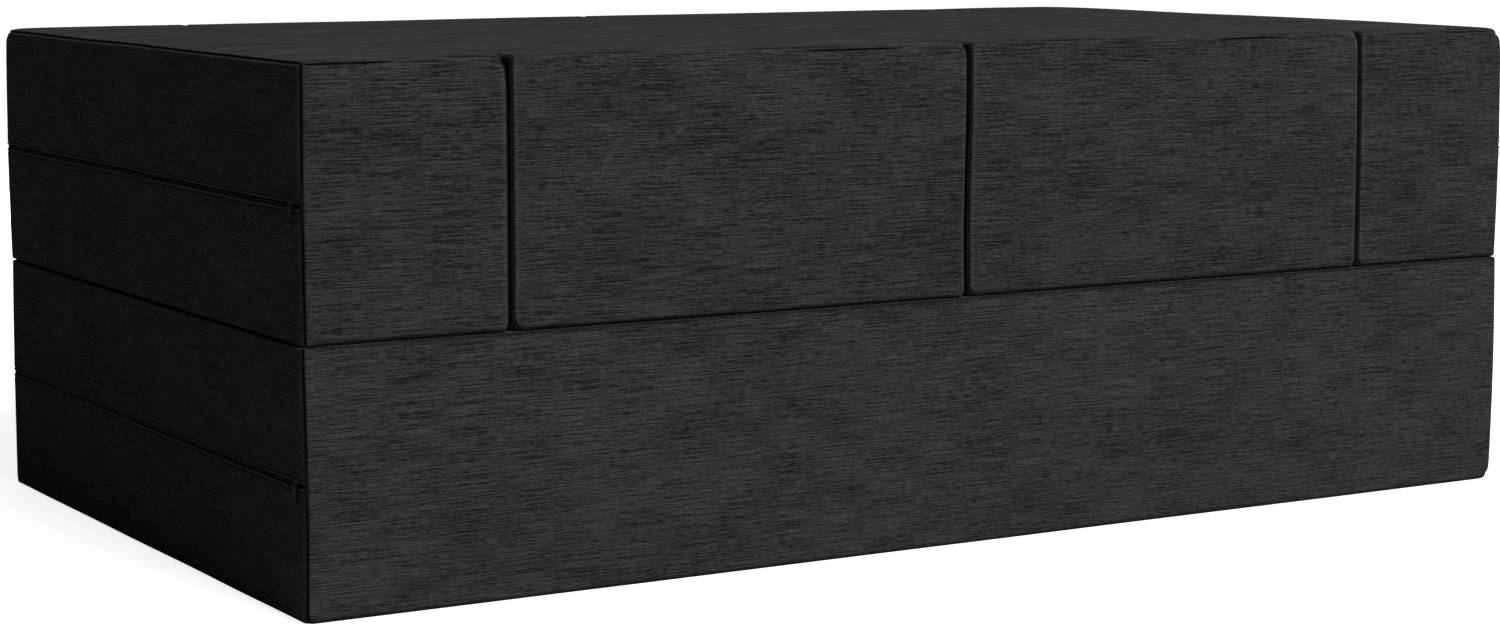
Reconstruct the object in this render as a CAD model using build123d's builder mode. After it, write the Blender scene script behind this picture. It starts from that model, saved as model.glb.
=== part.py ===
from build123d import *
from collections import namedtuple
import math
import os

# Folding sofa bed: one long base block and four blocks on it, each a zipped fabric cover
# round a lined pair of foam slabs. Every upper block folds back over the base's rear edge.
# Millimetres. X runs along the length, Y to the back, Z up. The origin is the middle of the
# floor area that the folded sofa bed takes up.

# The blocks
arm_width = 250
seat_width = 620
cover_depth = 1010
layer_height = 306
block_gap = 3
seam_gap = 0.4

# How full a cover is: its sides stand out between the sewn edges, and its top is crowned
side_bow = 3
crown = 6
crown_end_share = 0.3
corner_radius = 14
edge_radius = 12
overrun = 20

# The layers of a block, from the outside in
cover_wall = 1.5
liner_wall = 0.8
layer_clearance = 0.4

# The sewn fabric hinge along the rear edge
hinge_reach = 6
hinge_cloth = 1
hinge_clearance = 0.15
hinge_seat_clearance = 0.5
hinge_end_margin = 30

# The zip: a slit in the cover, two tapes behind it, a row of teeth and its stops
slit_width = 7.2
slit_end_margin = 1
tape_width = 26
tape_split = 0.4
tape_thickness = 0.6
tape_tail = 1
sewn_clearance = 0.1
teeth_width = 5.2
teeth_height = 1.4
teeth_chamfer = 0.4
stop_length = 2.5

# The slider, and the tab that hangs from its bail
zip_clearance = 0.3
slider_length = 11
slider_width = 8.4
slider_corner = 2
slider_plate = 1
slider_flange = 0.5
slider_lower_plate = 0.8
bail_radius = 0.6
bail_span = 7.2
bail_post = 1.2
pull_eye_clearance = 0.2
pull_eye_wall = 0.8
pull_eye_length = 4
pull_length = 22
pull_width = 8
pull_thickness = 1.2
pull_corner = 2
pull_slot_width = 3
pull_slot_length = 8
pull_slot_margin = 3

# Worked out from the sizes above
base_length = 2 * (arm_width + seat_width) + 3 * block_gap
upper_bottom = layer_height + seam_gap
seat_x = (seat_width + block_gap) / 2
arm_x = seat_width + block_gap * 3 / 2 + arm_width / 2
cover_y = (hinge_clearance - hinge_reach) / 2
back_y = cover_y + cover_depth / 2
hinge_y = back_y + hinge_reach
hinge_z = layer_height + seam_gap / 2

liner_inset = cover_wall + layer_clearance
foam_inset = liner_inset + liner_wall + layer_clearance

tape_bottom = -(cover_wall + sewn_clearance + tape_thickness)
teeth_bottom = tape_bottom + tape_thickness
flange_y = teeth_width / 2 + zip_clearance + slider_flange / 2
plate_top = zip_clearance + slider_plate
lower_plate_bottom = tape_bottom - zip_clearance - slider_lower_plate
pull_eye_bore = bail_radius + pull_eye_clearance
pull_eye_radius = pull_eye_bore + pull_eye_wall
bail_axis = plate_top + zip_clearance + pull_eye_radius

# x is a block's middle, bottom its underside's height, and rise how far its top is crowned
Block = namedtuple("Block", "name x width bottom rise zip_side")
base = Block("base", 0, base_length, 0, 0, "left")
upper_blocks = (
    Block("left_arm", -arm_x, arm_width, upper_bottom, crown, "left"),
    Block("left_middle", -seat_x, seat_width, upper_bottom, crown, "back"),
    Block("right_middle", seat_x, seat_width, upper_bottom, crown, "back"),
    Block("right_arm", arm_x, arm_width, upper_bottom, crown, "right"),
)

os.makedirs("parts", exist_ok=True)


def save(piece, name):
    piece.part.label = name
    export_step(piece.part, f"parts/{name}.step")


# A plane on the fullest line of the side that holds the zip. Its X runs along the teeth, its Y
# points down and its Z points out of the block.
def zip_plane(block):
    middle = block.bottom + layer_height / 2
    if block.zip_side == "left":
        return Plane((block.x - block.width / 2, cover_y, middle), x_dir=(0, 1, 0), z_dir=(-1, 0, 0))
    if block.zip_side == "right":
        return Plane((block.x + block.width / 2, cover_y, middle), x_dir=(0, -1, 0), z_dir=(1, 0, 0))
    return Plane((block.x, back_y, middle), x_dir=(1, 0, 0), z_dir=(0, 1, 0))


# The zip runs nearly from corner to corner
def zip_run(block):
    side = block.width if block.zip_side == "back" else cover_depth
    return side - 2 * (corner_radius + slit_end_margin)


# The slider waits at the closed end of the teeth: the front one on an arm and on the base, and
# the left one on a middle block
def slider_place(block):
    closed = zip_run(block) / 2 - stop_length - zip_clearance - slider_length / 2
    return closed if block.zip_side == "right" else -closed


# A plane square to the teeth, on the axis of the slider's bail
def bail_plane(block):
    face = zip_plane(block)
    middle = face.from_local_coords((slider_place(block), 0, bail_axis))
    return Plane(middle, x_dir=-face.y_dir, z_dir=face.x_dir)


# The edges round a form's top and underside
def rims(form):
    return form.edges().filter_by(lambda edge: edge.bounding_box().size.Z < layer_height / 2)


# The space under a block's crowned top: a loft across the width through three upright
# sections, each with an arc for its top
def under_crown(block, inset):
    half_depth = cover_depth / 2 + overrun
    half_width = block.width / 2 + overrun
    shoulder = layer_height - 2 * inset - block.rise
    with BuildPart() as space:
        for across, share in ((-half_width, crown_end_share), (0, 1), (half_width, crown_end_share)):
            upright = Plane((block.x + across, cover_y, block.bottom + inset), (0, 1, 0), (1, 0, 0))
            with BuildSketch(upright):
                with BuildLine():
                    Polyline(
                        (-half_depth, shoulder),
                        (-half_depth, -overrun),
                        (half_depth, -overrun),
                        (half_depth, shoulder),
                    )
                    ThreePointArc(
                        (half_depth, shoulder),
                        (0, shoulder + block.rise * share),
                        (-half_depth, shoulder),
                    )
                make_face()
        loft()
    return space.part


# The full form of a block, everywhere the same distance inside its cover's outside: sides that
# are drawn in at the sewn edges, rounded edges, a flat underside, and a crown on the top
def cushion(block, inset):
    height = layer_height - 2 * inset
    with BuildPart() as form:
        for up, drawn in ((0, side_bow), (height / 2, 0), (height, side_bow)):
            with BuildSketch(Plane((block.x, cover_y, block.bottom + inset + up))):
                in_by = inset + drawn
                RectangleRounded(block.width - 2 * in_by, cover_depth - 2 * in_by, corner_radius - inset)
        loft()
        if block.rise:
            add(under_crown(block, inset), mode=Mode.INTERSECT)
        fillet(rims(form), edge_radius - inset)
    return form.part


# What lies inside a cover is cut square, to the cover's size at its sewn edges. That leaves
# room for the zip at mid-height, where the cover is fullest.
def filling(block, inset):
    in_by = side_bow + inset
    with BuildPart() as form:
        with BuildSketch(Plane((block.x, cover_y, block.bottom + inset))):
            RectangleRounded(block.width - 2 * in_by, cover_depth - 2 * in_by, corner_radius - inset)
        extrude(amount=layer_height - block.rise - 2 * inset)
        fillet(rims(form), edge_radius - inset)
    return form.part


def make_cover(block):
    with BuildPart() as cover:
        add(cushion(block, 0))
        add(cushion(block, cover_wall), mode=Mode.SUBTRACT)
        with BuildSketch(zip_plane(block)):
            Rectangle(zip_run(block), slit_width)
        extrude(amount=cover_wall + sewn_clearance, both=True, mode=Mode.SUBTRACT)
    save(cover, f"{block.name}_cover")


def make_liner(block):
    with BuildPart() as liner:
        add(filling(block, liner_inset))
        add(filling(block, liner_inset + liner_wall), mode=Mode.SUBTRACT)
    save(liner, f"{block.name}_liner")


# Two glued foam slabs
def make_foam(block):
    glue_line = Plane.XY.offset(block.bottom + (layer_height - block.rise) / 2)
    for level, kept in (("lower", Keep.BOTTOM), ("upper", Keep.TOP)):
        with BuildPart() as foam:
            add(filling(block, foam_inset))
            split(bisect_by=glue_line, keep=kept)
        save(foam, f"{block.name}_foam_{level}")


# The two tapes lie behind the slit, with a narrow gap between them
def make_zip_tape(block):
    half_tape = (tape_width - tape_split) / 2
    from_middle = (tape_split + half_tape) / 2
    with BuildPart() as zip_tape:
        with BuildSketch(zip_plane(block).offset(tape_bottom)):
            with Locations((0, -from_middle), (0, from_middle)):
                Rectangle(zip_run(block) + 2 * tape_tail, half_tape)
        extrude(amount=tape_thickness)
    save(zip_tape, f"{block.name}_zip_tape")


# The closed teeth are one bar along the slit, with its outer edges eased
def make_zip_teeth(block):
    face = zip_plane(block)
    with BuildPart() as zip_teeth:
        with BuildSketch(face.offset(teeth_bottom)):
            Rectangle(zip_run(block) - 2 * stop_length, teeth_width)
        extrude(amount=teeth_height)
        outside = zip_teeth.faces().sort_by(Axis(face.origin, face.z_dir))[-1]
        chamfer(outside.edges(), teeth_chamfer)
    save(zip_teeth, f"{block.name}_zip_teeth")


def make_zip_stops(block):
    from_middle = (zip_run(block) - stop_length) / 2
    with BuildPart() as zip_stops:
        with BuildSketch(zip_plane(block).offset(teeth_bottom)):
            with Locations((-from_middle, 0), (from_middle, 0)):
                Rectangle(stop_length, teeth_width)
        extrude(amount=teeth_height)
    save(zip_stops, f"{block.name}_zip_stops")


# A plate over the teeth with a flange down each side of them, a bail on it, and a plate behind
# the tapes
def make_zip_slider(block):
    face = zip_plane(block)
    along = slider_place(block)
    post_from_middle = (bail_span - bail_post) / 2
    with BuildPart() as zip_slider:
        with BuildSketch(face.offset(zip_clearance)):
            with Locations((along, 0)):
                RectangleRounded(slider_length, slider_width, slider_corner)
        extrude(amount=slider_plate)
        with BuildSketch(face.offset(teeth_bottom + zip_clearance)):
            with Locations((along, -flange_y), (along, flange_y)):
                Rectangle(slider_length - 2 * slider_corner, slider_flange)
        extrude(amount=-teeth_bottom)
        with BuildSketch(face.offset(plate_top)):
            with Locations((along - post_from_middle, 0), (along + post_from_middle, 0)):
                Rectangle(bail_post, 2 * bail_radius)
        extrude(amount=bail_axis + bail_radius - plate_top)
        with BuildSketch(bail_plane(block)):
            Circle(bail_radius)
        extrude(amount=post_from_middle, both=True)
        with BuildSketch(face.offset(lower_plate_bottom)):
            with Locations((along, 0)):
                RectangleRounded(slider_length, slider_width, slider_corner)
        extrude(amount=slider_lower_plate)
    save(zip_slider, f"{block.name}_zip_slider")


# A flat tab with a slot at its foot, hung from the bail by a round eye
def make_zip_pull(block):
    face = zip_plane(block)
    along = slider_place(block)
    tab_top = (pull_eye_bore + pull_eye_radius) / 2
    tab_length = pull_length - tab_top
    with BuildPart() as zip_pull:
        with BuildSketch(bail_plane(block)):
            Circle(pull_eye_radius)
        extrude(amount=pull_eye_length / 2, both=True)
        with BuildSketch(face.offset(bail_axis - pull_thickness / 2)):
            with Locations((along, tab_top + tab_length / 2)):
                RectangleRounded(pull_width, tab_length, pull_corner)
            with Locations((along, pull_length - pull_slot_margin - pull_slot_length / 2)):
                SlotOverall(pull_slot_length, pull_slot_width, rotation=90, mode=Mode.SUBTRACT)
        extrude(amount=pull_thickness)
        with BuildSketch(bail_plane(block)):
            Circle(pull_eye_bore)
        extrude(amount=pull_width, both=True, mode=Mode.SUBTRACT)
    save(zip_pull, f"{block.name}_zip_pull")


# One half of a sewn fabric hinge: a strip that starts in the notch between the rounded edges
# and reaches the fold line. The base's half lies under the block's half.
def make_hinge_flap(block, name, underside):
    level = hinge_clearance + hinge_cloth - seam_gap / 2
    reach = edge_radius + hinge_seat_clearance
    start = math.sqrt(reach**2 - (edge_radius - level) ** 2)
    front = back_y - side_bow - edge_radius + start
    rear = hinge_y - hinge_clearance
    with BuildPart() as hinge_flap:
        with BuildSketch(Plane((block.x, (front + rear) / 2, underside))):
            Rectangle(block.width - 2 * hinge_end_margin, rear - front)
        extrude(amount=hinge_cloth)
    save(hinge_flap, name)


for block in (base, *upper_blocks):
    make_cover(block)
    make_liner(block)
    make_foam(block)
    make_zip_tape(block)
    make_zip_teeth(block)
    make_zip_stops(block)
    make_zip_slider(block)
    make_zip_pull(block)

for block in upper_blocks:
    make_hinge_flap(block, f"{block.name}_hinge_flap", hinge_z + hinge_clearance)
    make_hinge_flap(block, f"base_hinge_flap_{block.name}", hinge_z - hinge_clearance - hinge_cloth)
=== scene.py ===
import math

import bpy
import numpy as np
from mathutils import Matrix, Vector, noise


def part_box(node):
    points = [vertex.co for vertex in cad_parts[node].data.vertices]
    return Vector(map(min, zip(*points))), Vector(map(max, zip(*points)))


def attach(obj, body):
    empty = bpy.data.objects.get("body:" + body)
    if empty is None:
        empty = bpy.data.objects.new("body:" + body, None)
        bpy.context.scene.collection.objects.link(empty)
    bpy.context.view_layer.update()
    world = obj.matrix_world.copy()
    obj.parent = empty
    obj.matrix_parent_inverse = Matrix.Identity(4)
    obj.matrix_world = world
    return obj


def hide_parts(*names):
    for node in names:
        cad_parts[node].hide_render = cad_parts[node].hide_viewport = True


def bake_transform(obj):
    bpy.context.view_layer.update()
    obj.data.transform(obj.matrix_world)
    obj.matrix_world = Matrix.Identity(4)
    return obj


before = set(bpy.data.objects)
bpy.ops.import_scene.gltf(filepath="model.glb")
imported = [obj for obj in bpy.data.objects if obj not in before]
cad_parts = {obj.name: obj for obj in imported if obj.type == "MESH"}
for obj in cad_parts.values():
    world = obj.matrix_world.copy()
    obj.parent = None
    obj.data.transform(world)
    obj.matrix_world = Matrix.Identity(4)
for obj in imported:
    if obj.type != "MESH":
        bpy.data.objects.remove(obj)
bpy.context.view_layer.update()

mm = 0.001
sameSpot = 1e-6   # metres, to tell that two places are one


# Small helpers

def linear(hexColour):   # by the sRGB curve
    channels = [int(hexColour[i:i + 2], 16) / 255 for i in (1, 3, 5)]
    return [c / 12.92 if c <= 0.04045 else ((c + 0.055) / 1.055) ** 2.4 for c in channels] + [1.0]


def addNode(tree, kind, settings=None, inputs=None):
    node = tree.nodes.new(kind)
    for name, value in (settings or {}).items():
        setattr(node, name, value)
    for name, value in (inputs or {}).items():
        if isinstance(value, bpy.types.NodeSocket):
            tree.links.new(value, node.inputs[name])
        else:
            node.inputs[name].default_value = value
    return node


def newMaterial(name):
    material = bpy.data.materials.new(name)
    material.use_nodes = True
    tree = material.node_tree
    tree.nodes.clear()
    return material, tree


def finishMaterial(tree, shader):
    addNode(tree, "ShaderNodeOutputMaterial", inputs={"Surface": shader.outputs["BSDF"]})


def newPiece(name, points, polygons, material):
    mesh = bpy.data.meshes.new(name)
    mesh.from_pydata(np.asarray(points).tolist(), [], polygons)
    mesh.materials.append(material)
    piece = bpy.data.objects.new(name, mesh)
    bpy.context.scene.collection.objects.link(piece)
    return piece


# Materials

linenLook = {
    "darkYarn": "#0d0d0d",
    "lightYarn": "#3b3b3b",
    # The lighter yarn on folds and the zip's lips: partly rub wear, mostly painted highlight; on
    # the base's front, painted light
    "wornAndPaintedLightYarn": "#505050",
    # Near black where the seams are: mostly painted shade in grooves, gaps and under the blocks,
    # partly the black thread
    "seamThreadAndShade": "#030303",
    "wear_and_painted_light": 0.26,
    "wearAndPaintedLightPatches": (0.45, 1.4),             # on the darkest and on the lightest yarns
    "layers": {  # mm along and across the streaks, detail, lowest and highest share that it adds
        "streak": (70, 1.8, 3, -0.64, 0.64),
        "yarn": (12, 1.5, 2, -0.58, 0.58),
        "warp": (1.7, 26, 2, -0.14, 0.14),
        "cloud": (70, 26, 2, -0.09, 0.09),
        "mottle": (170, 90, 3, -0.18, 0.18),
    },
    "lying": (150, 28, 2, -0.66, 0.66),     # broad streaks on the top faces only
    "layerShift": (5.3, 3.7, 1),            # sets the layers' noises apart
    "noiseSpan": (0.28, 0.72),              # the part of the noise that is spread over a layer
    "noiseRoughness": 0.62,
    "slub": (60, 2.1, 2),                   # mm along and across, detail
    "slubShift": (31, 17, 9),
    "slubs": ((0.63, 0.72, 0.5), (0.37, 0.28, -0.5)),  # noise where one starts, is full, its share
    "midTone": 0.5,
    "relief": 0.45,                         # mm
    "reliefStrength": 0.9,
    "roughness": 0.9,
    "roughnessSpread": 0.06,
    "gloss": 0.2,
    "sheen": 0.05,
    "sheenRoughness": 0.5,
}


# Linen-look polyester, plain woven from uneven melange yarn: matt, with long thick-and-thin
# streaks along the weft, faint upright warp lines and a soft patchiness. The yarns are about
# 0.6 mm apart in the cloth; they are drawn 2 to 3 mm apart so that they show.
def linenLookPolyester(name, look):
    material, tree = newMaterial(name)
    place = addNode(tree, "ShaderNodeUVMap", {"uv_map": "weave"}).outputs["UV"]

    tone = None
    lying = addNode(tree, "ShaderNodeAttribute", {"attribute_name": "lying"}).outputs["Fac"]
    layers = [*look["layers"].values(), look["lying"]]
    for k, (along, across, detail, low, high) in enumerate(layers):
        scaled = addNode(tree, "ShaderNodeMapping", inputs={
            "Vector": place, "Location": [shift * k for shift in look["layerShift"]],
            "Scale": (1 / (along * mm), 1 / (across * mm), 1)})
        yarns = addNode(tree, "ShaderNodeTexNoise", inputs={
            "Vector": scaled.outputs["Vector"], "Scale": 1, "Detail": detail,
            "Roughness": look["noiseRoughness"]})
        part = addNode(tree, "ShaderNodeMapRange", {"clamp": False}, {
            "Value": yarns.outputs["Fac"], "From Min": look["noiseSpan"][0],
            "From Max": look["noiseSpan"][1], "To Min": low, "To Max": high}).outputs["Result"]
        if k == len(look["layers"]):
            part = addNode(tree, "ShaderNodeMath", {"operation": "MULTIPLY"},
                           {0: part, 1: lying}).outputs[0]
        if tone is None:
            tone = part
        else:
            tone = addNode(tree, "ShaderNodeMath", {"operation": "ADD"},
                           {0: tone, 1: part}).outputs[0]

    # Slubs: stray thick yarns, some darker and some lighter than the rest
    along, across, detail = look["slub"]
    scaled = addNode(tree, "ShaderNodeMapping", inputs={
        "Vector": place, "Location": look["slubShift"],
        "Scale": (1 / (along * mm), 1 / (across * mm), 1)})
    slubs = addNode(tree, "ShaderNodeTexNoise", inputs={
        "Vector": scaled.outputs["Vector"], "Scale": 1, "Detail": detail})
    for low, high, share in look["slubs"]:
        stray = addNode(tree, "ShaderNodeMapRange", {"interpolation_type": "SMOOTHSTEP"}, {
            "Value": slubs.outputs["Fac"], "From Min": low, "From Max": high,
            "To Min": 0, "To Max": share})
        tone = addNode(tree, "ShaderNodeMath", {"operation": "ADD"},
                       {0: tone, 1: stray.outputs["Result"]}).outputs[0]

    amount = addNode(tree, "ShaderNodeMath", {"operation": "ADD", "use_clamp": True},
                     {0: tone, 1: look["midTone"]}).outputs[0]
    yarnColour = addNode(tree, "ShaderNodeMix", {"data_type": "RGBA"}, {
        "Factor": amount, "A": linear(look["darkYarn"]), "B": linear(look["lightYarn"])})
    # Folded edges, the zip's lips and the base's front are painted lighter: partly rub wear,
    # mostly painted highlight where folds catch the light, and on the base's front painted light
    rubbedAndPaintedLight = addNode(tree, "ShaderNodeAttribute", {"attribute_name": "wear_and_painted_light"}).outputs["Fac"]
    least, most = look["wearAndPaintedLightPatches"]
    patchy = addNode(tree, "ShaderNodeMapRange", {"clamp": False}, {
        "Value": amount, "To Min": least * look["wear_and_painted_light"], "To Max": most * look["wear_and_painted_light"]})
    wornAndPaintedLight = addNode(tree, "ShaderNodeMath", {"operation": "MULTIPLY", "use_clamp": True},
                   {0: rubbedAndPaintedLight, 1: patchy.outputs["Result"]})
    yarnColour = addNode(tree, "ShaderNodeMix", {"data_type": "RGBA"}, {
        "Factor": wornAndPaintedLight.outputs[0], "A": yarnColour.outputs["Result"],
        "B": linear(look["wornAndPaintedLightYarn"])})
    # Seam grooves, the walls inside the gaps, the feet of the blocks and the seams under them are
    # painted near black: painted shade, with the black thread of the seams
    thread_and_painted_shade = addNode(tree, "ShaderNodeAttribute", {"attribute_name": "thread_and_painted_shade"}).outputs["Fac"]
    yarnColour = addNode(tree, "ShaderNodeMix", {"data_type": "RGBA"}, {
        "Factor": thread_and_painted_shade, "A": yarnColour.outputs["Result"], "B": linear(look["seamThreadAndShade"])})
    relief = addNode(tree, "ShaderNodeBump", inputs={
        "Height": tone, "Strength": look["reliefStrength"], "Distance": look["relief"] * mm})
    rough = addNode(tree, "ShaderNodeMapRange", inputs={
        "Value": amount, "To Min": look["roughness"] + look["roughnessSpread"],
        "To Max": look["roughness"] - look["roughnessSpread"]})
    shader = addNode(tree, "ShaderNodeBsdfPrincipled", inputs={
        "Base Color": yarnColour.outputs["Result"], "Roughness": rough.outputs["Result"],
        "Normal": relief.outputs["Normal"], "Sheen Weight": look["sheen"],
        "Sheen Roughness": look["sheenRoughness"], "Specular IOR Level": look["gloss"]})
    finishMaterial(tree, shader)
    return material


# Grained surface for the small and the hidden pieces: colour, roughness and relief vary by one
# noise; grain and relief are in mm
grainSpread = {"detail": 3, "roughness": 0.1, "reliefStrength": 0.6}


def grainedMaterial(name, dark, light, grain, roughness, relief, gloss):
    material, tree = newMaterial(name)
    place = addNode(tree, "ShaderNodeTexCoord").outputs["Object"]
    scaled = addNode(tree, "ShaderNodeMapping", inputs={
        "Vector": place, "Scale": [1 / (grain * mm)] * 3})
    grainNoise = addNode(tree, "ShaderNodeTexNoise", inputs={
        "Vector": scaled.outputs["Vector"], "Scale": 1,
        "Detail": grainSpread["detail"]}).outputs["Fac"]
    colour = addNode(tree, "ShaderNodeMix", {"data_type": "RGBA"}, {
        "Factor": grainNoise, "A": linear(dark), "B": linear(light)})
    rough = addNode(tree, "ShaderNodeMapRange", inputs={
        "Value": grainNoise, "To Min": roughness - grainSpread["roughness"],
        "To Max": roughness + grainSpread["roughness"]})
    bump = addNode(tree, "ShaderNodeBump", inputs={
        "Height": grainNoise, "Strength": grainSpread["reliefStrength"],
        "Distance": relief * mm})
    shader = addNode(tree, "ShaderNodeBsdfPrincipled", inputs={
        "Base Color": colour.outputs["Result"], "Roughness": rough.outputs["Result"],
        "Normal": bump.outputs["Normal"], "Specular IOR Level": gloss})
    finishMaterial(tree, shader)
    return material


coverFabric = linenLookPolyester("charcoal linen-look polyester", linenLook)
# Woven polyester tape: black, matt, with a fine rib
zipTapeFabric = grainedMaterial("woven polyester zip tape", "#030303", "#080808",
                                grain=0.8, roughness=0.95, relief=0.2, gloss=0.05)
# Moulded nylon: black, with a dull gloss
zipNylon = grainedMaterial("moulded nylon teeth", "#030303", "#070707",
                           grain=0.6, roughness=0.5, relief=0.05, gloss=0.15)
# Die-cast zinc under black enamel: smooth, with soft highlights
zipZinc = grainedMaterial("black enamelled zinc", "#060606", "#0c0c0c",
                          grain=1.5, roughness=0.45, relief=0.03, gloss=0.3)
# Non-woven polypropylene lining: off-white, with a felted look
linerFabric = grainedMaterial("non-woven lining", "#c9c8c4", "#dcdbd7",
                              grain=1.2, roughness=0.9, relief=0.15, gloss=0.3)
# Open-cell polyurethane foam: cream, dead matt, with pores under a millimetre
foamPolyurethane = grainedMaterial("open-cell polyurethane foam", "#cdbf98", "#dfd3ae",
                                   grain=0.9, roughness=0.95, relief=0.3, gloss=0.3)
print("materials made")


# Covers: a boxed cushion is made as a grid on the faces of a box, so that every sewn edge and
# the zip lie on grid lines. Its full form comes from a cloth simulation of the same box.

coverShape = {
    "cell": 17 * mm,
    "simCell": 24 * mm,
    "leastCell": 0.45,                                          # in cells, beside other lines
    "uprightLines": (0, 3.4, 4.2, 5.6, 8, 11, 16),              # grid lines, in mm from each edge
    "bottomLines": (0, 1.4, 3.2, 6, 10, 16),
    "topLines": (0, 1.4, 3.2, 4.0, 5.2, 6.6, 7.8, 10, 16),
    "bow": 1.2 * mm,          # how far the seams at top and bottom are drawn in
    "touch": -1.3 * mm,       # and farther in, where the two sides touch
    "gapDepth": (14 * mm, 80 * mm),
    "shoulder": 5.0 * mm,     # how far the top seams lie above the CAD's highest point
    "crown": 1.0 * mm,        # the part of the crown that isn't left to the simulation
    "crownSquareness": 4,
    "zipCalm": 40 * mm,       # within this of the zip, the cloth lies flat
    "waver": 0.7 * mm,        # how far seams and faces stray from true
    "waverLength": 190 * mm,
    "waverSeed": 4,           # without one, Blender's noise starts elsewhere in each run
    "zipEnds": 3 * mm,        # the zip's groove runs out over this at each end
    "stitchFade": 22 * mm,    # over which an open stretch of stitching closes
    "cornerCalm": 36 * mm,    # towards a corner, a seam on which a cover rests is shallower
    "cornerShare": 0.4,
    "endShare": 0.1,          # and along the ends, against the front and the back
    "fill": 0.95,             # how tight the cover is on its foam
}

# Blender's cloth settings; gravity is off
clothSim = {"pressure": 4.0, "frames": 20, "quality": 5, "tension": 15, "bending": 2.0}

# The faces' full swell beyond the drawn-in box, by what each faces
swell = {"open": 2.2 * mm, "neighbour": 0.0, "top": 2.0 * mm, "resting": 0.0}
swellEase = 3   # how softly the simulated swell is brought down to that

# How a face is sunk beside an edge, and how much painted shade it gets there, with the seam's
# black thread: mm from the edge, then mm sunk or the share of painted shade
edgeKinds = {
    "seam": {"sunk": ((0, 2.8), (1.4, 0.8), (3.2, 0.05), (6, -0.15), (10, 0)),
             "threadAndPaintedShade": ((0, 0.4), (1.4, 0))},
    "upright": {"sunk": ((0, 5.6), (3.4, 1.4), (4.2, 0.6), (5.6, 0), (8, -0.2), (11, 0)),
                "threadAndPaintedShade": ((0, 1), (3.4, 1), (4.2, 0.7), (5.6, 0))},
    "gapUpright": {"sunk": ((0, 2.6), (3.4, 0.5), (4.8, 0.1), (7, 0)),
                   "threadAndPaintedShade": ((0, 1), (3.4, 0.1), (4.8, 0))},
    # Deep into a gap, the walls are painted near black: painted shade
    "insideGap": {"sunk": ((0, 2.6), (3.4, 0.5), (4.8, 0.1), (7, 0)),
                  "threadAndPaintedShade": ((0, 1), (4.8, 1), (10, 0.8), (16, 0.3), (30, 0))},
    "restingOn": {"sunk": ((0, 4.6), (1.4, 3.2), (3.2, 1.1), (6, 0.2), (10, 0)),
                  "threadAndPaintedShade": ((0, 1), (1.4, 1), (3.2, 0.85), (4.8, 0.2), (6, 0))},
    "under": {"sunk": ((0, 3.0), (1.4, 1.2), (3.2, 0.2), (6, 0)),
              "threadAndPaintedShade": ((0, 1), (1.4, 1), (3.2, 0.4), (6, 0))},
    "floor": {"sunk": ((0, 1.6), (1.4, 0.5), (3.2, 0)),
              "threadAndPaintedShade": ((0, 1), (3.2, 0.8), (6, 0))},
    "touching": {"sunk": ((0, 0.9), (1.4, 0.3), (3.2, 0)),
                 "threadAndPaintedShade": ((0, 0), (1.4, 0))},
    "softEnd": {"sunk": ((0, 2.6), (1.4, 1.6), (3.2, 1.3), (6, 1.1), (10, 0.8), (16, 0.5),
                         (34, 0)),
                "threadAndPaintedShade": ((0, 0.3), (1.4, 0))},
    "underTop": {"sunk": ((0, 1.8), (1.4, 4.6), (3.2, 4.8), (4.0, 3.4), (5.2, 0.8), (6.6, 0),
                          (7.8, -0.2), (10, 0)),
                 "threadAndPaintedShade": ((0, 0.3), (1.4, 1), (3.2, 1), (4.0, 0.6), (5.2, 0))},
    # An open stitch line is a groove, painted near black along it: painted shade, with the thread
    "stitched": {"sunk": ((3.2, 0), (4.0, 2.0), (5.2, 5.0), (6.6, 2.4), (7.8, 0)),
                 "threadAndPaintedShade": ((3.2, 0), (4.0, 0.6), (5.2, 1), (6.6, 0.3), (7.8, 0))},
}
zipProfile = ((0, 2.6), (2.2, 2.6), (2.7, 0.6), (3.2, -0.3), (4.0, -0.8), (4.8, -0.6), (5.5, 0.2),
              (6.2, 1.6), (6.9, 0.3), (8, 0))
zipLines = (0, 2.2, 2.7, 3.2, 4.0, 4.8, 5.5, 6.2, 6.9, 8, 12)

# Where the cloth is painted lighter, partly rub wear and mostly painted highlight where folds
# catch the light: mm from an upright seam, from the top seam or from the zip, and how much. The
# front of the base is painted a little lighter all over, as painted light.
edgeWearAndHighlight = ((3.4, 0), (4.2, 0.6), (5.6, 1.0), (8, 0.2), (11, 0))
topWearAndHighlight = ((0, 0.3), (3.2, 0.7), (5.2, 0))
# How much lighter the base's front is painted: painted light
baseFrontPaintedLight = 0.22
zipLipWearAndHighlight = ((2.7, 0), (3.2, 1.6), (4.0, 2.6), (4.8, 2.2), (5.5, 0))

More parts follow.
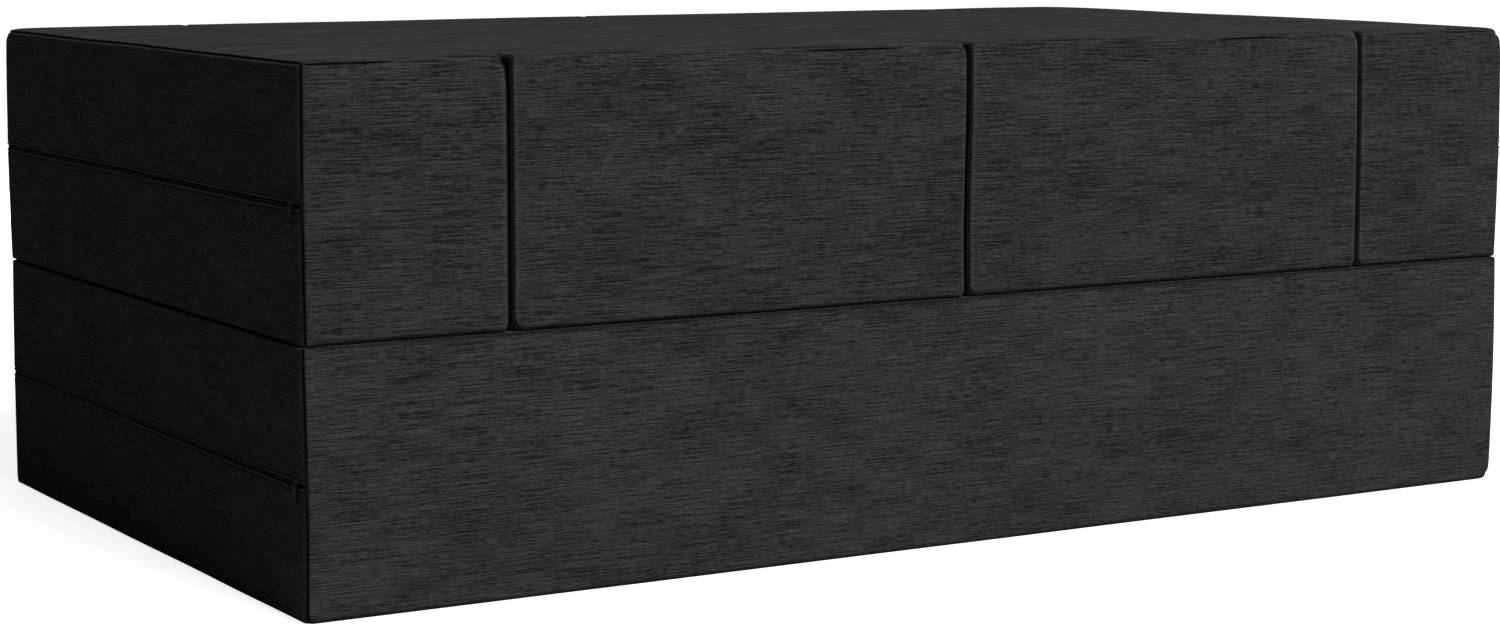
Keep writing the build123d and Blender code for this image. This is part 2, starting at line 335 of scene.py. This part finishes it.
# Sides are (axis, end), with end 1 at the far end of the axis. A side beside a neighbour goes
# with how far it stands back from it at the front, from the foot to the top, in mm. Leaning says
# the same of an open side, for the front and then for the back.
blocks = {
    "base": {
        "zip": (0, 0), "rest": ((2, 0), (2, 1)), "floor": (2, 0), "neighbours": {},
        "leaning": {(0, 0): ((-3.2, -1.2, -0.2, -1.0, -2.8), (-2.4, -0.8, -0.2, 0, 0)),
                    (0, 1): ((-2.4, -2.0), (0, 0))}},
    "left_arm": {
        "zip": (0, 0), "rest": ((2, 0),), "floor": None, "leaning": {},
        "neighbours": {(0, 1): (-0.9, -0.9)}},
    "left_middle": {
        "zip": (1, 1), "rest": ((2, 0),), "floor": None, "leaning": {},
        "neighbours": {(0, 0): (1.4, 1.4), (0, 1): (0.9, 3.8, 2.8, 0.9, 0.9)}},
    "right_middle": {
        "zip": (1, 1), "rest": ((2, 0),), "floor": None, "leaning": {},
        "neighbours": {(0, 0): (-0.9, -3.4, -2.4, -0.3, -0.9), (0, 1): (-0.9, 2.6)}},
    "right_arm": {
        "zip": (0, 1), "rest": ((2, 0),), "floor": None, "leaning": {},
        "neighbours": {(0, 0): (-0.9, -4.4)}},
}

# Corner radii in mm, at the front and at the back, by the ends of the x and z axes
cornerSizes = {
    "base": {(0, 0): (11, 9), (0, 1): (6, 3), (1, 0): (16, 8), (1, 1): (6, 4)},
    "left_arm": {(0, 0): (6, 3), (0, 1): (6, 17), (1, 0): (10, 4), (1, 1): (22, 4)},
    "left_middle": {(0, 0): (17, 4), (0, 1): (8, 4), (1, 0): (10, 4), (1, 1): (15, 4)},
    "right_middle": {(0, 0): (14, 4), (0, 1): (8, 4), (1, 0): (10, 4), (1, 1): (15, 4)},
    "right_arm": {(0, 0): (14, 4), (0, 1): (8, 4), (1, 0): (4, 4), (1, 1): (22, 14)},
}

# Shifts in metres that give each cover and each side its own piece of the patterns
coverSpread = {"waver": 7.1, "side": 1.37, "block": 3.1}

# Where the stitch line below the front top edge shows: from x, to x (mm), how open
openStitching = {
    "left_arm": ((-880, -755, 1.0), (-755, -690, 0.5), (-680, -630, 0.3)),
    "left_middle": ((-560, -520, 0.25), (-450, -350, 0.4), (-240, -95, 1.0), (-70, -14, 0.4)),
    "right_middle": ((10, 120, 0.25), (190, 260, 0.35), (375, 500, 1.0), (500, 600, 0.4)),
    "right_arm": ((632, 760, 0.45), (760, 866, 0.7)),
}


def sideKind(name, side):
    block = blocks[name]
    if side in block["rest"]:
        return "resting"
    if side in block["neighbours"]:
        return "neighbour"
    return "top" if side[0] == 2 else "open"


def smoothStep(value, start, end):
    share = np.clip((value - start) / (end - start), 0, 1)
    return share * share * (3 - 2 * share)


def gridLines(low, high, cell, fromLow=(0,), fromHigh=(0,), middle=None, besideMiddle=()):
    spots = [low + m * mm for m in fromLow] + [high - m * mm for m in fromHigh]
    if middle is not None:
        spots += [middle + side * b * mm for b in besideMiddle for side in (-1, 1)]
    inner = low + max(fromLow) * mm
    outer = high - max(fromHigh) * mm
    count = round((outer - inner) / cell)
    for k in range(1, count):
        spot = inner + (outer - inner) * k / count
        if all(abs(spot - other) > coverShape["leastCell"] * cell for other in spots):
            spots.append(spot)
    return np.unique(np.round(spots, 7))


def boxGrid(lines):
    shape = [len(line) for line in lines]
    shell = np.zeros(shape, bool)
    shell[[0, -1]] = True
    shell[:, [0, -1]] = True
    shell[:, :, [0, -1]] = True
    cells = np.argwhere(shell)
    ids = -np.ones(shape, int)
    ids[shell] = np.arange(len(cells))
    points = np.stack([lines[axis][cells[:, axis]] for axis in range(3)], axis=1)
    quads, sides, grids = [], [], {}
    for axis in range(3):
        for end in (0, 1):
            grid = np.take(ids, -end, axis)
            grids[axis, end] = grid
            corners = (grid[:-1, :-1], grid[1:, :-1], grid[1:, 1:], grid[:-1, 1:])
            quad = np.stack(corners, -1).reshape(-1, 4)
            outward = (end == 1) != (axis == 1)
            quads.append(quad if outward else quad[:, ::-1])
            sides += [(axis, end)] * len(quad)
    return points, np.concatenate(quads), sides, grids


# The drawn-in edges, the gaps, the crown's share and the rounded corners, as moves from the box
def formMoves(name, points, low, high):
    half = (high - low) / 2
    share = (points - (low + high) / 2) / half
    moves = np.zeros_like(points)
    fromFace = np.minimum(points[:, 1] - low[1], high[1] - points[:, 1])
    meeting = smoothStep(fromFace, *coverShape["gapDepth"])
    for axis in (0, 1):
        for end in (0, 1):
            if sideKind(name, (axis, end)) == "neighbour":
                stoodBack = blocks[name]["neighbours"][axis, end]
                apart = np.interp(share[:, 2], np.linspace(-1, 1, len(stoodBack)), stoodBack) * mm
                drawn = apart * (1 - meeting) + coverShape["touch"] * meeting
            else:
                drawn = coverShape["bow"] * share[:, 2] ** 2
                if (axis, end) in blocks[name]["leaning"]:
                    front, back = (np.interp(share[:, 2], np.linspace(-1, 1, len(one)), one)
                                   for one in blocks[name]["leaning"][axis, end])
                    drawn = drawn + (front + (back - front) * (share[:, 1] + 1) / 2) * mm
            outward = end * 2 - 1
            moves[:, axis] -= outward * drawn * np.clip(share[:, axis] * outward, 0, 1)
    if sideKind(name, (2, 1)) == "top":
        steep = coverShape["crownSquareness"]
        dome = (1 - share[:, 0] ** steep) * (1 - share[:, 1] ** steep)
        onTop = points[:, 2] > high[2] - sameSpot
        moves[onTop, 2] += coverShape["crown"] * dome[onTop]
    # A corner is rounded as seen from the front and, at an open end, as seen from the end too
    for corner in np.ndindex(2, 2, 2):
        radius = cornerSizes[name][corner[0], corner[2]][corner[1]] * mm
        sign = np.array(corner) * 2 - 1
        at = np.where(np.array(corner) == 1, high, low)
        inward = radius - np.abs(at - points)
        near = (inward > 0).all(axis=1)
        pull = inward[near] / radius
        x, y, z = pull.T
        fromFront = (np.maximum(x, z) / np.hypot(x, z) - 1) * smoothStep(y, 0, 1)
        fromEnd = 1 / np.sqrt(1 + (x * y * z) ** 2) - 1
        if sideKind(name, (0, corner[0])) == "open":
            fromEnd = (np.maximum(y, z) / np.hypot(y, z) - 1) * smoothStep(x, 0, 1)
        shrink = np.stack((fromFront, fromEnd, np.minimum(fromFront, fromEnd)), axis=1)
        moves[near] += sign * inward[near] * shrink
    return moves


def coverBox(name):
    low, high = (np.array(corner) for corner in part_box(f"{name}_cover"))
    if sideKind(name, (2, 1)) == "top":
        high[2] += coverShape["shoulder"]
    return low, high


def simGrid(name):
    low, high = coverBox(name)
    return [gridLines(low[axis], high[axis], coverShape["simCell"]) for axis in range(3)]


# One cloth simulation swells all five covers at once, with their seams pinned
def simulateCovers():
    made = {}
    scene = bpy.context.scene
    for name in blocks:
        lines = simGrid(name)
        points, quads, _, grids = boxGrid(lines)
        start = points + formMoves(name, points, *coverBox(name))
        piece = newPiece(f"{name}_swelling", start, quads.tolist(), coverFabric)
        edges = np.zeros(len(points), int)
        for grid in grids.values():
            for rim in (grid[0], grid[-1], grid[:, 0], grid[:, -1]):
                edges[rim] = 1
        pinned = piece.vertex_groups.new(name="seams")
        pinned.add(np.flatnonzero(edges).tolist(), 1.0, "REPLACE")
        cloth = piece.modifiers.new("cloth", "CLOTH")
        cloth.settings.quality = clothSim["quality"]
        cloth.settings.tension_stiffness = clothSim["tension"]
        cloth.settings.compression_stiffness = clothSim["tension"]
        cloth.settings.bending_stiffness = clothSim["bending"]
        cloth.settings.use_pressure = True
        cloth.settings.uniform_pressure_force = clothSim["pressure"]
        cloth.settings.vertex_group_mass = "seams"
        cloth.settings.effector_weights.gravity = 0
        cloth.point_cache.frame_start = 1
        cloth.point_cache.frame_end = clothSim["frames"]
        made[name] = (piece, start, lines, grids)
    for step in range(1, clothSim["frames"] + 1):
        scene.frame_set(step)
    swollen = {}
    view = bpy.context.evaluated_depsgraph_get()
    for name, (piece, start, lines, grids) in made.items():
        result = np.array([v.co for v in piece.evaluated_get(view).data.vertices])
        swollen[name] = (result - start, lines, grids)
        bpy.data.objects.remove(piece)
    scene.frame_set(1)
    return swollen


def acrossAxes(axis):
    return [other for other in range(3) if other != axis]


def sampleGrid(values, linesA, linesB, a, b):
    i = np.clip(np.searchsorted(linesA, a) - 1, 0, len(linesA) - 2)
    j = np.clip(np.searchsorted(linesB, b) - 1, 0, len(linesB) - 2)
    s = ((a - linesA[i]) / (linesA[i + 1] - linesA[i]))[:, None]
    t = ((b - linesB[j]) / (linesB[j + 1] - linesB[j]))[:, None]
    return ((1 - s) * (1 - t) * values[i, j] + s * (1 - t) * values[i + 1, j]
            + (1 - s) * t * values[i, j + 1] + s * t * values[i + 1, j + 1])


def profileAt(profile, distance):
    spots, heights = zip(*profile)
    before = 0 if spots[0] else None   # one that starts away from the edge is nothing before it
    return np.interp(distance, np.array(spots) * mm, np.array(heights) * mm, left=before, right=0)


# The kinds of edge that a face has beside another side, each with its share at every point
def kindsBeside(name, side, other, here, low, high):
    kinds = [sideKind(name, one) for one in (side, other)]
    whole = np.ones(len(here))
    if blocks[name]["floor"] in (side, other):
        return [("floor", whole)]
    if "resting" in kinds:
        along = 1 - side[0] if side[0] < 2 else 1 - other[0]
        fromCorner = np.minimum(here[:, along] - low[along], high[along] - here[:, along])
        lower = name == "base" and (2, 1) in (side, other)
        most = coverShape["endShare"] if side[0] == 0 else 1.0
        least = coverShape["cornerShare"]
        calm = least + (1 - least) * smoothStep(fromCorner, 0, coverShape["cornerCalm"])
        return [("under" if lower else "restingOn", most * calm)]
    if side == (2, 1) and other[0] == 0 and kinds[1] == "open":
        return [("softEnd", whole)]
    if side[0] == 0 and kinds[0] == "open" and kinds[1] == "top":
        return [("underTop", whole)]
    if 2 not in (side[0], other[0]):
        if kinds[0] == "neighbour":
            return [("insideGap", whole)]
        return [("gapUpright" if kinds[1] == "neighbour" else "upright", whole)]
    if "neighbour" in kinds:
        fromFace = np.minimum(here[:, 1] - low[1], high[1] - here[:, 1])
        meeting = smoothStep(fromFace, *coverShape["gapDepth"])
        return [("seam", 1 - meeting), ("touching", meeting)]
    if side[0] != 1:
        return [("seam", whole)]
    opened = np.zeros(len(here))
    fade = coverShape["stitchFade"]
    for start, end, how in openStitching[name]:
        rise = smoothStep(here[:, 0], start * mm, start * mm + fade)
        fall = smoothStep(-here[:, 0], -end * mm, fade - end * mm)
        opened = np.maximum(opened, how * rise * fall)
    return [("seam", whole), ("stitched", opened)]


def makeCover(name, swollen):
    block = blocks[name]
    low, high = coverBox(name)
    zipLevel = (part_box(f"{name}_zip_teeth")[0].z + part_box(f"{name}_zip_teeth")[1].z) / 2
    upright, bottom, top = (coverShape[one] for one in ("uprightLines", "bottomLines", "topLines"))
    lines = [
        gridLines(low[0], high[0], coverShape["cell"], upright, upright),
        gridLines(low[1], high[1], coverShape["cell"], upright, upright),
        gridLines(low[2], high[2], coverShape["cell"], bottom, top, zipLevel, zipLines),
    ]
    points, quads, sides, grids = boxGrid(lines)
    moves = formMoves(name, points, low, high)
    marks = {mark: np.zeros(len(points)) for mark in ("wear_and_painted_light", "thread_and_painted_shade", "lying")}
    simMoves, simLines, simGrids = swollen[name]
    for side, grid in grids.items():
        axis, end = side
        spots = np.unique(grid)
        outward = end * 2 - 1
        a, b = acrossAxes(axis)
        here = points[spots]
        swelling = sampleGrid(simMoves[simGrids[side]], simLines[a], simLines[b],
                              here[:, a], here[:, b])
        limit = swell[sideKind(name, side)]
        raised = np.zeros(len(spots))
        if limit:
            raised = limit * np.tanh(swelling[:, axis] * outward / limit / swellEase)
        # Lighter marks: rub wear and painted highlight along folds and the zip's lips, painted
        # light on the base's front
        rubbedAndPaintedLight, thread_and_painted_shade = np.zeros(len(spots)), np.zeros(len(spots))
        # Darker marks: painted shade in grooves, gaps and under the blocks, with the seams' black
        # thread
        for across in (a, b):
            edges = ((0, here[:, across] - low[across]), (1, high[across] - here[:, across]))
            for otherEnd, fromEdge in edges:
                for kind, share in kindsBeside(name, side, (across, otherEnd), here, low, high):
                    raised = raised - share * profileAt(edgeKinds[kind]["sunk"], fromEdge)
                    threadAndPaintedShade = profileAt(edgeKinds[kind]["threadAndPaintedShade"], fromEdge) / mm
                    thread_and_painted_shade = np.maximum(thread_and_painted_shade, share * threadAndPaintedShade)
                beside = sideKind(name, (across, otherEnd))
                if 2 not in (axis, across) and (axis == 0) == (beside == "open"):
                    rubbedAndPaintedLight = np.maximum(rubbedAndPaintedLight, profileAt(edgeWearAndHighlight, fromEdge) / mm)
                if axis == 1 and beside == "top":
                    rubbedAndPaintedLight = np.maximum(rubbedAndPaintedLight, profileAt(topWearAndHighlight, fromEdge) / mm)
        # The base's front is painted a little lighter all over: painted light
        if name == "base" and side == (1, 0):
            rubbedAndPaintedLight = np.maximum(rubbedAndPaintedLight, baseFrontPaintedLight)
        if side == block["zip"]:
            toZip = np.abs(here[:, 2] - zipLevel)
            along = a if a != 2 else b
            fromSeam = np.minimum(here[:, along] - low[along], high[along] - here[:, along])
            near = smoothStep(fromSeam, 0, coverShape["zipEnds"])
            calm = smoothStep(toZip, 0, coverShape["zipCalm"])
            raised = raised * calm - profileAt(zipProfile, toZip) * near
            # The zip's lips are painted lighter: painted highlight, with some rub wear
            rubbedAndPaintedLight = np.maximum(rubbedAndPaintedLight, profileAt(zipLipWearAndHighlight, toZip) / mm * near)
        moves[spots, axis] += outward * raised
        lying = np.full(len(spots), sideKind(name, side) == "top")
        for mark, values in (("wear_and_painted_light", rubbedAndPaintedLight), ("thread_and_painted_shade", thread_and_painted_shade), ("lying", lying)):
            marks[mark][spots] = np.maximum(marks[mark][spots], values)
    # Seams and faces stray a little, except where the cover rests on something
    order = list(blocks).index(name)
    seed = Vector((coverSpread["waver"] * (1 + order), 0, 0))
    held = (*block["rest"], *block["neighbours"])
    still = [(axis, (low, high)[end][axis]) for axis, end in held]
    for k, point in enumerate(points):
        stray = noise.noise_vector(Vector(point) / coverShape["waverLength"] + seed)
        stray = stray * coverShape["waver"]
        for axis, level in still:
            if abs(point[axis] - level) < sameSpot:
                stray[axis] = 0
        moves[k] += stray
    cover = newPiece(f"{name}_fabric", points + moves, quads.tolist(), coverFabric)
    for mark, values in marks.items():
        attribute = cover.data.attributes.new(mark, "FLOAT", "POINT")
        attribute.data.foreach_set("value", values.astype(np.float32))
    weave = cover.data.uv_layers.new(name="weave")
    flat = points[quads.ravel()].reshape(-1, 4, 3)
    places = np.empty((len(quads), 4, 2))
    for k, side in enumerate(grids):
        a, b = acrossAxes(side[0])
        on = np.array([s == side for s in sides])
        places[on] = (flat[on][:, :, [a, b]]
                      + (k * coverSpread["side"] + order * coverSpread["block"]))
    weave.data.foreach_set("uv", places.astype(np.float32).ravel())
    smooth = cover.modifiers.new("smooth", "SUBSURF")
    smooth.levels = smooth.render_levels = 1
    bpy.context.view_layer.objects.active = cover
    bpy.ops.object.modifier_apply(modifier=smooth.name)
    cover.data.shade_smooth()
    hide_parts(f"{name}_cover")
    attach(cover, name)
    print(name, "cover made:", len(cover.data.vertices), "points")


swollenCovers = simulateCovers()
print("covers swollen")
noise.seed_set(coverShape["waverSeed"])
for name in blocks:
    makeCover(name, swollenCovers)


# Zip coils: small bars of nylon from each side, which mesh along the middle

zipCoil = {
    "pitch": 2.0 * mm,
    "reach": (2.1 * mm, -0.5 * mm),     # from the outer end to past the middle
    "radius": (0.36 * mm, 0.62 * mm),   # at the ends and between them
    "taper": 0.5 * mm,
    "firstBar": 0.75,                   # in pitches from the end of the teeth
    "sides": 6,
}


def makeCoil(name):
    low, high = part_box(f"{name}_zip_teeth")
    out = blocks[name]["zip"][0]
    run = 1 - out
    middle = (low + high) / 2
    count = int((high[run] - low[run]) / zipCoil["pitch"]) - 1
    thin, thick = zipCoil["radius"]
    outer, inner = zipCoil["reach"]
    taper = zipCoil["taper"]
    rings = ((outer, thin), (outer - taper, thick), (inner + taper, thick), (inner, thin))
    n = zipCoil["sides"]
    angles = np.arange(n) * 2 * math.pi / n
    bar = np.array([(radius * math.cos(t), radius * math.sin(t), level)
                    for level, radius in rings for t in angles])
    last = len(rings) - 1
    barFaces = [(r * n + k, r * n + (k + 1) % n, (r + 1) * n + (k + 1) % n, (r + 1) * n + k)
                for r in range(last) for k in range(n)]
    barFaces += [tuple(range(n - 1, -1, -1)), tuple(range(last * n, (last + 1) * n))]
    points, faces = [], []
    for k in range(2 * count):
        side = 1 if k % 2 else -1
        first = len(points)
        for u, v, w in bar:
            spot = [0, 0, middle[2] + w * side]
            spot[run] = low[run] + (k / 2 + zipCoil["firstBar"]) * zipCoil["pitch"] + u
            spot[out] = middle[out] + v
            points.append(spot)
        faces += [tuple(first + i for i in face) for face in barFaces]
    coil = newPiece(f"{name}_zip_coil", points, faces, zipNylon)
    coil.data.shade_smooth()
    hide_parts(f"{name}_zip_teeth")
    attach(coil, name)


for name in blocks:
    makeCoil(name)
print("zip coils made")


# Carried-over pieces get their materials

carriedOver = {
    "liner": linerFabric,
    "foam_lower": foamPolyurethane,
    "foam_upper": foamPolyurethane,
    "zip_tape": zipTapeFabric,
    "zip_stops": zipNylon,
    "zip_slider": zipZinc,
    "zip_pull": zipZinc,
}
for name in blocks:
    for part, material in carriedOver.items():
        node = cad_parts[f"{name}_{part}"]
        node.data.materials.clear()
        node.data.materials.append(material)
print("inner pieces and zips dressed")


# Sewn hinges: one folded strip each, made as it lies with its block in place; the real strip opens
# flat when its block folds back

hingeStrip = {
    "thickness": 1.0 * mm,
    "columnWidth": 12 * mm,
    "flatRows": 6,
    "turn": (-0.8, 0.0, 0.8),   # radians round the fold
    "rowLength": 2.4 * mm,      # in the weave
    "blendReach": 0.6,          # the share of the rise over which the strip bends
}


def makeHinge(name):
    low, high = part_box(f"{name}_hinge_flap")
    baseLow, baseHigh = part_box(f"base_hinge_flap_{name}")
    level = (low.z + baseHigh.z) / 2
    rise = (high.z + low.z) / 2 - level
    front, fold = low.y, high.y
    # The strip runs over the base, turns at the fold and runs back under the block
    flat = [(y, -rise) for y in np.linspace(front, fold, hingeStrip["flatRows"])]
    turned = [(fold + rise * math.cos(t), rise * math.sin(t)) for t in hingeStrip["turn"]]
    path = flat + turned + [(y, -z) for y, z in reversed(flat)]
    columns = round((high.x - low.x) / hingeStrip["columnWidth"])
    points, quads = [], []
    for k in range(columns + 1):
        x = low.x + (high.x - low.x) * k / columns
        points += [(x, y, level + z) for y, z in path]
    rows = len(path)
    for k in range(columns):
        for r in range(rows - 1):
            a = k * rows + r
            quads.append((a, a + 1, a + rows + 1, a + rows))
    strip = newPiece(f"{name}_hinge_strip", points, quads, coverFabric)
    weave = strip.data.uv_layers.new(name="weave")
    row = hingeStrip["rowLength"]
    weave.data.foreach_set("uv", [c for quad in quads for v in quad
                                  for c in (points[v][0], (v % rows) * row)])
    thick = strip.modifiers.new("thick", "SOLIDIFY")
    thick.thickness = hingeStrip["thickness"]
    thick.offset = 0
    bpy.context.view_layer.objects.active = strip
    bpy.ops.object.modifier_apply(modifier=thick.name)
    strip.data.shade_smooth()
    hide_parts(f"{name}_hinge_flap", f"base_hinge_flap_{name}")
    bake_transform(strip)


for name in blocks:
    if name != "base":
        makeHinge(name)
print("hinges made")


# Studio: pale floor, soft light, and a camera where the photograph's stood

studio = {
    "floorShade": "#adadad",   # what lights the object from below
    "floorSeen": "#f4f4f4",    # the same floor, overexposed, as the camera sees it
    "floorGlow": (0.82, 1.0),  # near the object and far from it
    "glowDistance": (1.1, 2.8),
    "floorSize": 60.0,
    "floorGrain": (40.0, 2),   # noise scale and detail
    "floorRoughness": (0.80, 0.90),
    "floorGloss": 0.1,
    "skyForLight": 0.012,
    "skySeen": 1.0,
    "lights": {
        "key": {
            "at": (2.0, -10.6, 8.6), "aim": (0.0, -0.4, 0.3), "size": (7.4, 5.6), "power": 1890},
        "aside": {
            "at": (3.8, 0.6, 0.7), "aim": (0.6, 0.0, 0.3), "size": (1.4, 1.2), "power": 12},
        "behind": {
            "at": (1.2, 4.6, 0.34), "aim": (0.0, 0.5, 0.3), "size": (3.2, 0.5), "power": 75},
    },
}

# The camera was fitted to the photograph's corners: place and turn are in metres and radians
camera = {
    "place": (-2.1980, -3.6712, 0.7868),
    "yaw": 0.5378,
    "pitch": 0.1298,
    "lens": 76.06,
    "sensor": 36,
}


def makeStudio():
    half = studio["floorSize"] / 2
    material, tree = newMaterial("matt white studio floor")
    ray = addNode(tree, "ShaderNodeLightPath").outputs["Is Camera Ray"]
    scale, detail = studio["floorGrain"]
    fine = addNode(tree, "ShaderNodeTexNoise", inputs={"Scale": scale, "Detail": detail})
    smoothest, roughest = studio["floorRoughness"]
    rough = addNode(tree, "ShaderNodeMapRange", inputs={
        "Value": fine.outputs["Fac"], "To Min": smoothest, "To Max": roughest})
    paper = addNode(tree, "ShaderNodeMix", {"data_type": "RGBA"}, {
        "Factor": ray, "A": linear(studio["floorShade"]), "B": linear(studio["floorSeen"])})
    spot = addNode(tree, "ShaderNodeNewGeometry").outputs["Position"]
    distance = addNode(tree, "ShaderNodeVectorMath", {"operation": "LENGTH"}, {0: spot})
    nearGlow, farGlow = studio["floorGlow"]
    nearEdge, farEdge = studio["glowDistance"]
    spread = addNode(tree, "ShaderNodeMapRange", inputs={
        "Value": distance.outputs["Value"], "From Min": nearEdge, "From Max": farEdge,
        "To Min": nearGlow, "To Max": farGlow})
    glow = addNode(tree, "ShaderNodeMath", {"operation": "MULTIPLY"},
                   {0: ray, 1: spread.outputs["Result"]})
    shader = addNode(tree, "ShaderNodeBsdfPrincipled", inputs={
        "Base Color": paper.outputs["Result"], "Roughness": rough.outputs["Result"],
        "Specular IOR Level": studio["floorGloss"], "Emission Color": linear("#ffffff"),
        "Emission Strength": glow.outputs[0]})
    finishMaterial(tree, shader)
    corners = [(-half, -half, 0), (half, -half, 0), (half, half, 0), (-half, half, 0)]
    newPiece("floor", corners, [(0, 1, 2, 3)], material)

    world = bpy.data.worlds.new("studio")
    bpy.context.scene.world = world
    world.use_nodes = True
    tree = world.node_tree
    tree.nodes.clear()
    ray = addNode(tree, "ShaderNodeLightPath").outputs["Is Camera Ray"]
    strength = addNode(tree, "ShaderNodeMapRange", inputs={
        "Value": ray, "To Min": studio["skyForLight"], "To Max": studio["skySeen"]})
    sky = addNode(tree, "ShaderNodeBackground", inputs={
        "Color": linear("#ffffff"), "Strength": strength.outputs["Result"]})
    addNode(tree, "ShaderNodeOutputWorld", inputs={"Surface": sky.outputs["Background"]})

    for name, lamp in studio["lights"].items():
        light = bpy.data.lights.new(name, "AREA")
        light.shape = "RECTANGLE"
        light.size, light.size_y = lamp["size"]
        light.energy = lamp["power"]
        holder = bpy.data.objects.new(name, light)
        holder.location = lamp["at"]
        towards = Vector(lamp["aim"]) - Vector(lamp["at"])
        holder.rotation_euler = towards.to_track_quat("-Z", "Y").to_euler()
        bpy.context.scene.collection.objects.link(holder)


def makeCamera():
    lens = bpy.data.cameras.new("camera")
    lens.lens = camera["lens"]
    lens.sensor_width = camera["sensor"]
    holder = bpy.data.objects.new("camera", lens)
    holder.location = camera["place"]
    holder.rotation_euler = (math.pi / 2 - camera["pitch"], 0, -camera["yaw"])
    bpy.context.scene.collection.objects.link(holder)
    bpy.context.scene.camera = holder


makeStudio()
makeCamera()
bpy.context.scene.view_settings.view_transform = "Standard"
print("studio made")
